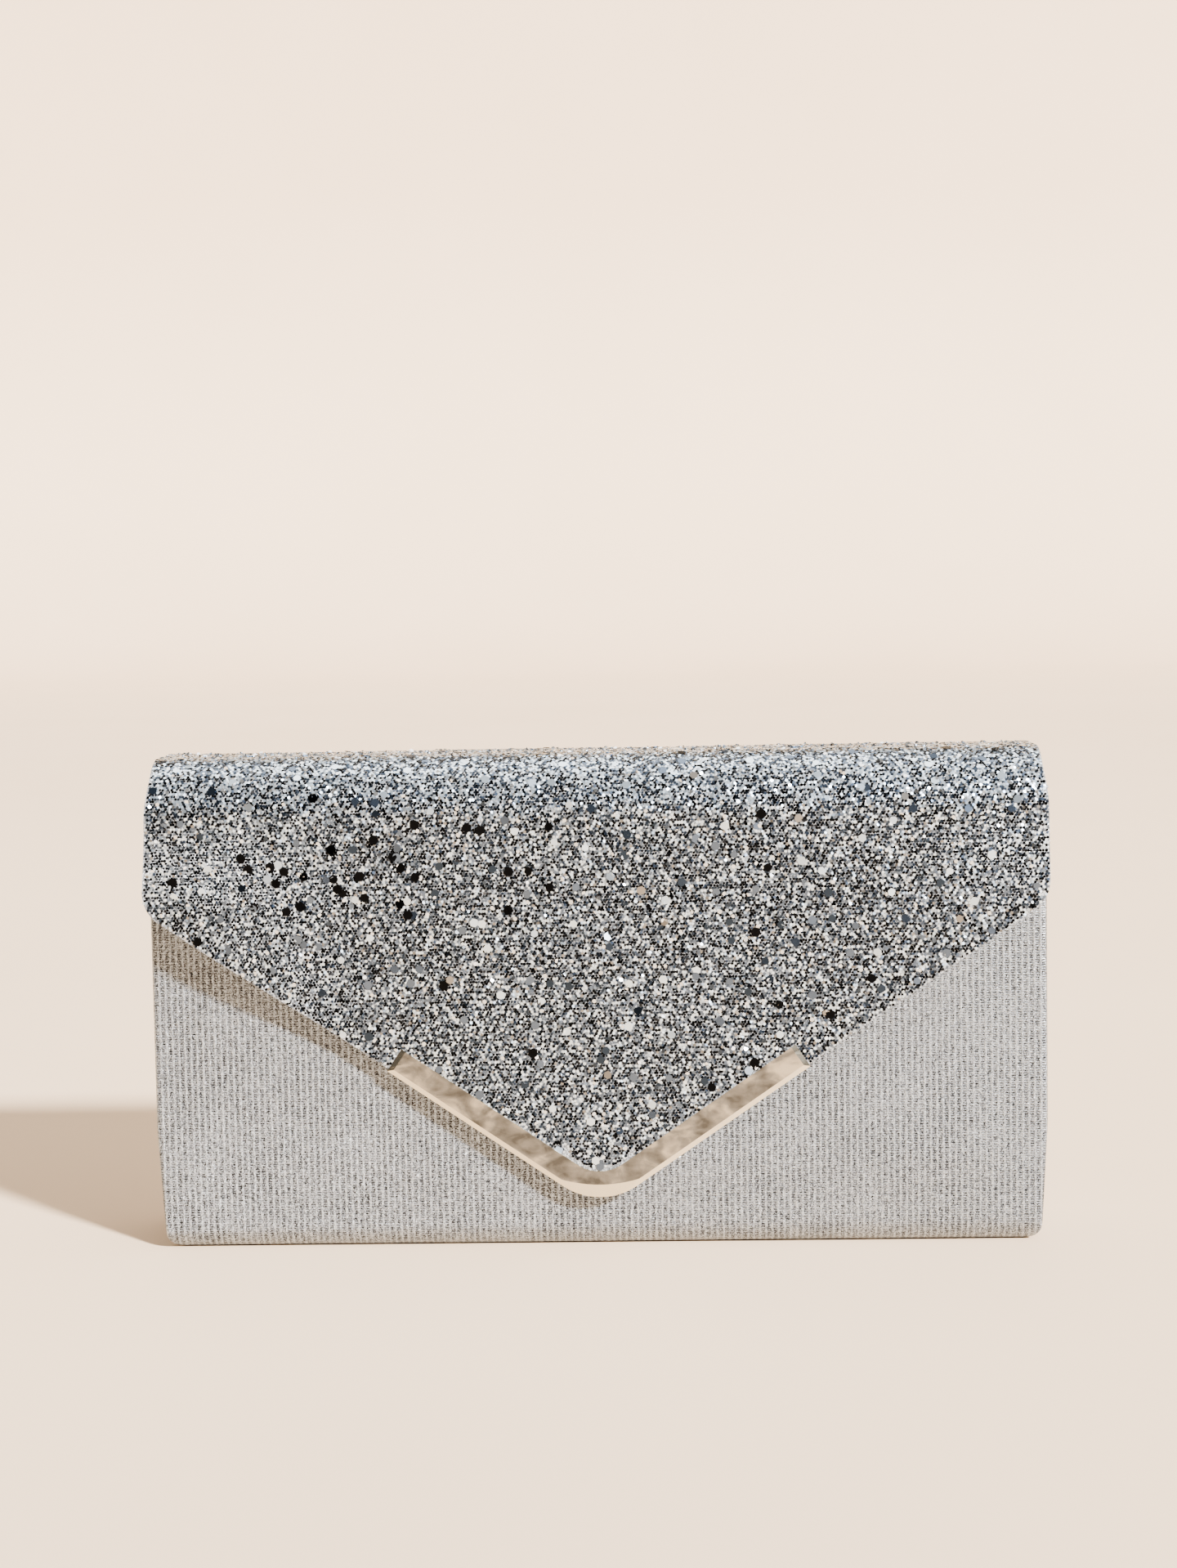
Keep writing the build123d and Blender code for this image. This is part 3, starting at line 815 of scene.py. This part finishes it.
def make_flap_cloth(name, depth, thickness, inset, start_z, is_front, materials, slot, nodes):
    """One layer of the flap, from the seam on the back of the roll either over to the front's lower
    edge, or down the back to start_z."""
    path = FlapPath(depth, start_z)
    seam_s = back_seam - start_z
    x = flap_columns(inset)
    if is_front:
        bent = path.at_height_on_front(front_crease) + crease_length
        upper = steps(seam_s, (seam_s + 0.5 * MM, 2), (path.s_flat, 14), (path.s_front_arc, 8),
                      (path.s_front, 14), (bent, 8))
        lower_edge = path.at_height_on_front(flap_lower_edge(x, inset))
        lower = upper[-1] + (lower_edge - upper[-1]) * np.linspace(0, 1, 49)[1:, None]
        s = np.concatenate([np.tile(upper[:, None], len(x)), lower])
    else:
        s = steps(0.0, (max(back_crease - start_z, 0.1 * MM), 10), (seam_s, 8))
        s = np.tile(s[:, None], len(x))
    points, _ = flap_surface(x, s, path)
    inner = INSIDE if is_front else (0, 0, 100 * MM)
    thing = cloth(name, points, grid(x, s), thickness, materials, inner, rim=0.22,
                  edge_material=len(materials) - 1)
    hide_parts(*nodes)
    blend_flap(thing, is_front)


def blend_flap(thing, is_front):
    """Bakes a piece's placement into its mesh, for front and back pieces alike, with no bend across either
    crease.
    """
    if is_front:
        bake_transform(thing)
    else:
        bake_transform(thing)


def make_flap(bed, edge, interlining, lining):
    """The flap's cloths: the skin under the glitter, the core and the lining."""
    skin = (0.0, FLAP_SKIN, 0.0, strip_low.z)
    core = (FLAP_SKIN, FLAP_CORE, layer_inset, back_crease + 0.3 * MM)
    inner = (FLAP_SKIN + FLAP_CORE, FLAP_LINING, layer_inset, back_crease + 0.3 * MM)
    make_flap_cloth("flap_skin_front", *skin, True, [bed, edge], "glitter_fabric",
                    ("flap_front_skin", "flap_roll_skin"))
    make_flap_cloth("flap_skin_back", *skin, False, [bed, edge], "glitter_fabric", ("flap_root_strip",))
    make_flap_cloth("flap_core", *core, True, [interlining], "interlining",
                    ("flap_roll_core", "flap_front_core"))
    make_flap_cloth("flap_lining_front", *inner, True, [lining], "lining_satin",
                    ("flap_front_lining", "flap_roll_lining"))
    make_flap_cloth("flap_lining_back", *inner, False, [lining], "lining_satin", ())


# ---- Glitter ----
def under_trim(x, z, margin):
    """True where the front of the flap is covered by the trim."""
    x = np.abs(x)
    inward = (z - flap_apex) * cos(flap_slope) - x * sin(flap_slope)
    along = x * cos(flap_slope) + (z - flap_apex) * sin(flap_slope)
    on_arm = (inward < trim_width - 0.6 * MM + margin) & (along < trim_arm + margin)
    tip_centre = flap_apex + tip_radius / cos(flap_slope)
    on_tip = np.hypot(x, z - tip_centre) > tip_radius - trim_width - margin
    return on_arm | (on_tip & (x < tip_radius * sin(flap_slope)) & (z < tip_centre))


def scatter(spacing, jitter, edge):
    """Places on the flap for flakes: a triangular lattice, shaken, inside the flap's outline."""
    path = FlapPath(0.0, strip_low.z)
    row_spacing = spacing * 0.866
    columns = np.arange(int(2 * flap_half / spacing) + 1)
    rows = np.arange(int(path.at_height_on_front(flap_apex) / row_spacing) + 1)
    i, j = np.meshgrid(columns, rows)
    x = (i + 0.5 * (j % 2)) * spacing - flap_half
    s = j * row_spacing
    x = (x + RNG.normal(0, jitter, x.shape)).ravel()
    s = (s + RNG.normal(0, jitter, s.shape)).ravel()
    _, z, _, _ = path(s)
    on_front = s > path.s_front
    inside = (np.abs(x) < flap_half - edge) & (s > edge)
    inside &= ~on_front | (z > flap_lower_edge(x) + edge)
    inside &= ~(on_front & under_trim(x, z, 0.25 * MM))
    return x[inside], s[inside], path


def flakes(name, x, s, path, size, height, tilt, material, is_front):
    """Hexagonal flakes as closed solids: a flat face and a point buried in the bed."""
    count = len(x)
    centres, normals = flap_surface(x, s, path, height)
    normals = normals + RNG.normal(0, tilt, (count, 3))
    normals /= np.linalg.norm(normals, axis=1, keepdims=True)
    start = RNG.normal(0, 1, (count, 3))
    first = start - (start * normals).sum(1, keepdims=True) * normals
    first /= np.linalg.norm(first, axis=1, keepdims=True)
    second = np.cross(normals, first)
    radius = (size / sqrt(3) * RNG.uniform(0.86, 1.1, count))[:, None, None]
    angle = (np.arange(6) * pi / 3)[None, :, None]
    corners = radius * (np.cos(angle) * first[:, None, :] + np.sin(angle) * second[:, None, :])
    root = centres - normals * (height + 0.35 * MM)
    vertices = np.concatenate([centres[:, None, :] + corners, root[:, None, :]], 1)
    base = np.arange(count)[:, None] * vertices.shape[1]
    faces = (base + np.arange(6)).tolist()
    for k in range(6):
        faces += (base + np.array([(k + 1) % 6, k, 6])).tolist()
    thing = new_object(name, vertices.reshape(-1, 3), faces, None, [material])
    thing.data.shade_flat()
    blend_flap(thing, is_front)


def make_glitter():
    """The glitter: small flakes close together, some large ones, and a few loose ones."""
    tones = [                                # colour, roughness, share of the fine and the coarse flakes
        ("white", (0.71, 0.85, 1.0), 0.28, 0.22, 0.38),
        ("silver", (0.105, 0.140, 0.203), 0.20, 0.20, 0.38),
        ("grey", (0.027, 0.039, 0.060), 0.22, 0.20, 0.18),
        ("black", (0.003, 0.0034, 0.0042), 0.20, 0.28, 0.0),
        ("slate", (0.020, 0.023, 0.029), 0.20, 0.08, 0.0),
        ("cream", (0.25, 0.235, 0.215), 0.28, 0.03, 0.06),
    ]
    for size_name, spacing, jitter, size, height, tilt in (
        ("fine", 0.78 * MM, 0.08 * MM, 0.72 * MM, 0.10 * MM, 0.12),
        ("coarse", 11.0 * MM, 3.4 * MM, 2.0 * MM, 0.26 * MM, 0.08),
    ):
        x, s, path = scatter(spacing, jitter, 0.58 * size)
        is_front = s > back_seam - strip_low.z
        # Painted highlight: the roll, which faces up towards the light, gets more of the bright tones than
        # the rest.
        roll_painted_highlight = smooth((path.s_front + 8 * MM - s) / (26 * MM))
        roll_painted_highlight *= smooth((s - path.s_back_arc) / (10 * MM))
        draw = RNG.random(len(x)) ** (1 + 0.8 * roll_painted_highlight)      # more bright flakes on the roll
        start = 0.0
        for tone, colour, roughness, fine_share, coarse_share in tones:
            share = fine_share if size_name == "fine" else coarse_share
            if not share:
                continue
            material = flake_material(f"flake_{tone}_{size_name}", colour, roughness)
            of_tone = (draw >= start) & (draw < start + share)
            start += share
            for part, mask in (("front", of_tone & is_front), ("back", of_tone & ~is_front)):
                flakes(f"glitter_{size_name}_{tone}_{part}", x[mask], s[mask], path, size, height, tilt,
                       material, part == "front")
    make_dark_flakes()
    make_loose_flakes()


def make_dark_flakes():
    """Large dark flakes, gathered across the left of the flap's front and few elsewhere."""
    x, s, path = scatter(3.4 * MM, 1.1 * MM, 1.0 * MM)
    _, z, _, _ = path(s)
    gathered = 0.17 * np.exp(-(((x + 68 * MM) / (42 * MM)) ** 2) - ((z - 102 * MM) / (11 * MM)) ** 2)
    chosen = (RNG.random(len(x)) < gathered + 0.006) & (s > path.s_front_arc)
    material = flake_material("flake_black_coarse", (0.004, 0.0042, 0.005), 0.2)
    flakes("glitter_coarse_black_front", x[chosen], s[chosen], path, 2.3 * MM, 0.38 * MM, 0.05, material,
           True)


def make_loose_flakes():
    """Bright flakes that lie at odd angles, so that a few of them glint in any light."""
    size = 1.0 * MM
    x, s, path = scatter(5.0 * MM, 1.6 * MM, 0.6 * size)
    is_front = s > back_seam - strip_low.z
    material = flake_material("flake_loose", (0.80, 0.84, 0.90), 0.12)
    for part, mask in (("front", is_front), ("back", ~is_front)):
        flakes(f"glitter_loose_{part}", x[mask], s[mask], path, size, 0.26 * MM, 0.45, material,
               part == "front")


# ---- Stitching ----
def stitch_row(name, points, outward, material, body, length=2.4, gap=0.7, radius=0.22):
    """Thread stitches along a line of points, in millimetres of length, gap and radius. outward is the
    direction in which the cloth faces. A stitch's ends sink into the cloth."""
    length, gap, radius, sink = length * MM, gap * MM, radius * MM, 0.35
    sides, rings = 6, 7
    points = np.array(points, float)
    outward = np.array(outward, float)
    along = distance_along(points)
    count = max(1, int(along[-1] / (length + gap)))
    pitch = along[-1] / count
    share = np.linspace(-1, 1, rings)
    bow = np.sqrt(np.clip(1 - share**2, 0, 1))
    size = radius * np.clip(0.35 + 0.65 * bow, 0.3, 1)
    turn = 2 * pi * np.arange(sides) / sides
    vertices, faces, uvs = [], [], []
    for k in range(count):
        at = (k + 0.5) * pitch + share * length / 2
        centre = np.stack([np.interp(at, along, points[:, axis]) for axis in range(3)], 1)
        centre = centre + outward * (bow - sink * (1 - bow))[:, None] * radius
        forward = centre[-1] - centre[0]
        forward /= np.linalg.norm(forward)
        across = np.cross(outward, forward)
        round_about = np.cos(turn)[:, None] * across + np.sin(turn)[:, None] * outward
        vertices.append(centre[:, None, :] + size[:, None, None] * round_about)
        base = k * rings * sides
        for ring in range(rings - 1):
            for side in range(sides):
                a = base + ring * sides + side
                b = base + ring * sides + (side + 1) % sides
                faces.append([a, a + sides, b + sides, b])
                u0, u1 = at[ring], at[ring + 1]
                v0, v1 = side * radius, (side + 1) * radius
                uvs += [(u0, v0), (u1, v0), (u1, v1), (u0, v1)]
        faces.append([base + side for side in range(sides)])
        faces.append([base + (rings - 1) * sides + side for side in reversed(range(sides))])
        uvs += [(at[0], 0)] * sides + [(at[-1], 0)] * sides
    thing = new_object(name, np.concatenate(vertices).reshape(-1, 3), faces, uvs, [material])
    make_outward(thing)
    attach(thing, body)


def arc_points(centre_x, centre_z, radius, start, y):
    """Points on a quarter turn, at a depth y."""
    return [(centre_x + radius * cos(a), y, centre_z + radius * sin(a))
            for a in np.linspace(start, start + pi / 2, 7)]


def make_stitching(thread):
    """Stitch rows on the strip at the back, the facing, the pocket and the tabs."""
    y, z = strip_high.y + 0.12 * MM, strip_low.z + 2.2 * MM
    half = flap_half - 2.5 * MM
    stitch_row("strip_stitches", [(-half, y, z), (half, y, z)], (0, 1, 0), thread, "carcass", radius=0.3)

    y, half = facing_high.y + 0.12 * MM, facing_high.x - 2.0 * MM
    for label, z in (("low", facing_low.z + 1.8 * MM), ("high", facing_high.z - 2.0 * MM)):
        line = [(-half, y, z), (half, y, z)]
        stitch_row(f"facing_stitches_{label}", line, (0, 1, 0), thread, "front_panel")

    edge, corner = 1.6 * MM, 5.4 * MM
    y, top = pocket_low.y - 0.06 * MM, pocket_high.z - 0.5 * MM
    x0, z0 = pocket_high.x - edge, pocket_low.z + edge
    left = arc_points(-x0 + corner, z0 + corner, corner, pi, y)
    right = arc_points(x0 - corner, z0 + corner, corner, 1.5 * pi, y)
    outline = [(-x0, y, top), *left, *right, (x0, y, top)]
    stitch_row("pocket_stitches", outline, (0, -1, 0), thread, "carcass")

    y, half = tab_high.y - 1.55 * MM, (tab_high.x - tab_low.x) / 2 - 1.2 * MM
    z0, z1 = tab_high.z - 7 * MM, tab_high.z - 2 * MM
    for name, side in (("left", -1), ("right", 1)):
        middle = side * (tab_low.x + tab_high.x) / 2
        x0, x1 = middle - half, middle + half
        box = [(x0, y, z0), (x1, y, z0), (x1, y, z1), (x0, y, z1), (x0, y, z0)]
        stitch_row(f"{name}_tab_stitches", box, (0, -1, 0), thread, "carcass", length=1.4, gap=0.5)


# ---- CAD pieces that are kept ----
def finish_cad():
    """The boards, the trim, the chain rings and the snap are the CAD's own shapes."""
    board = board_material("board", (0.60, 0.53, 0.44), (0.42, 0.36, 0.29))
    # The trim's and the rings' colours are painted reflection: a lighter one for the bevels, and darker ones
    # with painted shade for the flat faces.
    trim = trim_metal("trim_metal", (0.76, 0.68, 0.53), (0.215, 0.208, 0.192), (0.085, 0.082, 0.076))
    ring_metal = trim_metal("ring_metal", (0.70, 0.66, 0.60), (0.45, 0.42, 0.38), (0.30, 0.28, 0.25))
    nickel = plated("nickel", (0.80, 0.79, 0.77))
    for material, names in (
        (board, ("front_board", "back_board", "bottom_board")),
        (trim, ("flap_trim",)),
        (ring_metal, ("left_chain_ring", "right_chain_ring")),
        (nickel, ("snap_case", "snap_base", "snap_base_washer", "snap_stud", "snap_stud_washer")),
        (magnet_material(), ("snap_magnet",)),
    ):
        for name in names:
            thing = frame["nodes"][name]
            if not thing.material_slots:
                thing.data.materials.append(material)
            for slot in thing.material_slots:
                slot.material = material


# ---- Floor, light ----
def make_floor():
    """A pale surface that rises behind the bag in a wide curve."""
    near, flat, bend, top, width = -12.0, 4.0, 1.0, 3.0, 12.0
    profile = [(near, 0.0), (flat, 0.0)]
    profile += [(flat + bend * sin(a), bend * (1 - cos(a))) for a in np.linspace(0, pi / 2, 13)[1:]]
    profile += [(flat + bend, top)]
    vertices = [(side * width, y, z) for y, z in profile for side in (-1, 1)]
    faces = [[2 * k, 2 * k + 1, 2 * k + 3, 2 * k + 2] for k in range(len(profile) - 1)]
    thing = new_object("floor", vertices, faces, None, [floor_material()])


def add_light(name, kind, azimuth, elevation, power, colour, distance=0.0, **shape):
    """A light that faces the bag. Azimuth 0 is in front, 90 at the bag's right-hand end."""
    data = bpy.data.lights.new(name, kind)
    data.energy = power
    data.color = colour
    for key, value in shape.items():
        setattr(data, key, value)
    light = bpy.data.objects.new(name, data)
    a, e = radians(azimuth), radians(elevation)
    towards = Vector((sin(a) * cos(e), -cos(a) * cos(e), sin(e)))
    light.location = Vector((0, 0, flap_top / 2)) + towards * distance
    light.rotation_mode = "QUATERNION"
    light.rotation_quaternion = towards.to_track_quat("Z", "Y")
    bpy.context.collection.objects.link(light)


def make_world():
    """A pale backdrop, and the light of a room that is bright overhead and dim level with the bag."""
    world = bpy.data.worlds.new("world")
    world.use_nodes = True
    n = Nodes(world.node_tree)
    room = n.ramp(n.axis("Generated", "Z"), (0.0, (0.08, 0.075, 0.07)), (0.35, (0.16, 0.15, 0.135)),
                  (0.9, (0.62, 0.57, 0.50)))
    seen = n.node("LightPath").outputs["Is Camera Ray"]
    backdrop = n.mix(seen, room, (2.9, 2.35, 1.85))
    n.link(backdrop, n.tree.nodes["Background"].inputs["Color"])
    bpy.context.scene.world = world


def make_light():
    """A soft key light from the right, so far away that it lights the floor evenly, a weaker light
    beside it, one overhead, and the room's light."""
    add_light("key", "SUN", 42, 30, 25.0, (1.0, 0.99, 0.98), angle=0.10)
    add_light("window", "AREA", 60, 46, 16.0, (1.0, 0.95, 0.89), distance=3.0, shape="DISK", size=1.3)
    add_light("top", "AREA", 180, 78, 25.0, (1.0, 0.93, 0.84), distance=1.6, shape="DISK", size=1.5)
    make_world()


# ---- The whole scene ----
make_camera()
make_floor()
make_light()
body_lurex = lurex("body_lurex", (0.485, 0.512, 0.545), (0.004, 0.004, 0.005))
lining_cloth = satin("lining_satin", (0.34, 0.325, 0.31), (0.20, 0.19, 0.18))
make_body_cloth(body_lurex)
make_body_lining(lining_cloth)
make_facing(body_lurex)
make_pocket(lining_cloth)
make_gussets(body_lurex, lining_cloth)
make_ring_tabs(lining_cloth)
interlining = board_material("interlining", (0.62, 0.60, 0.57), (0.48, 0.46, 0.43))
make_flap(glitter_bed(), cut_edge(), interlining, lining_cloth)
make_glitter()
make_stitching(thread_material())
finish_cad()
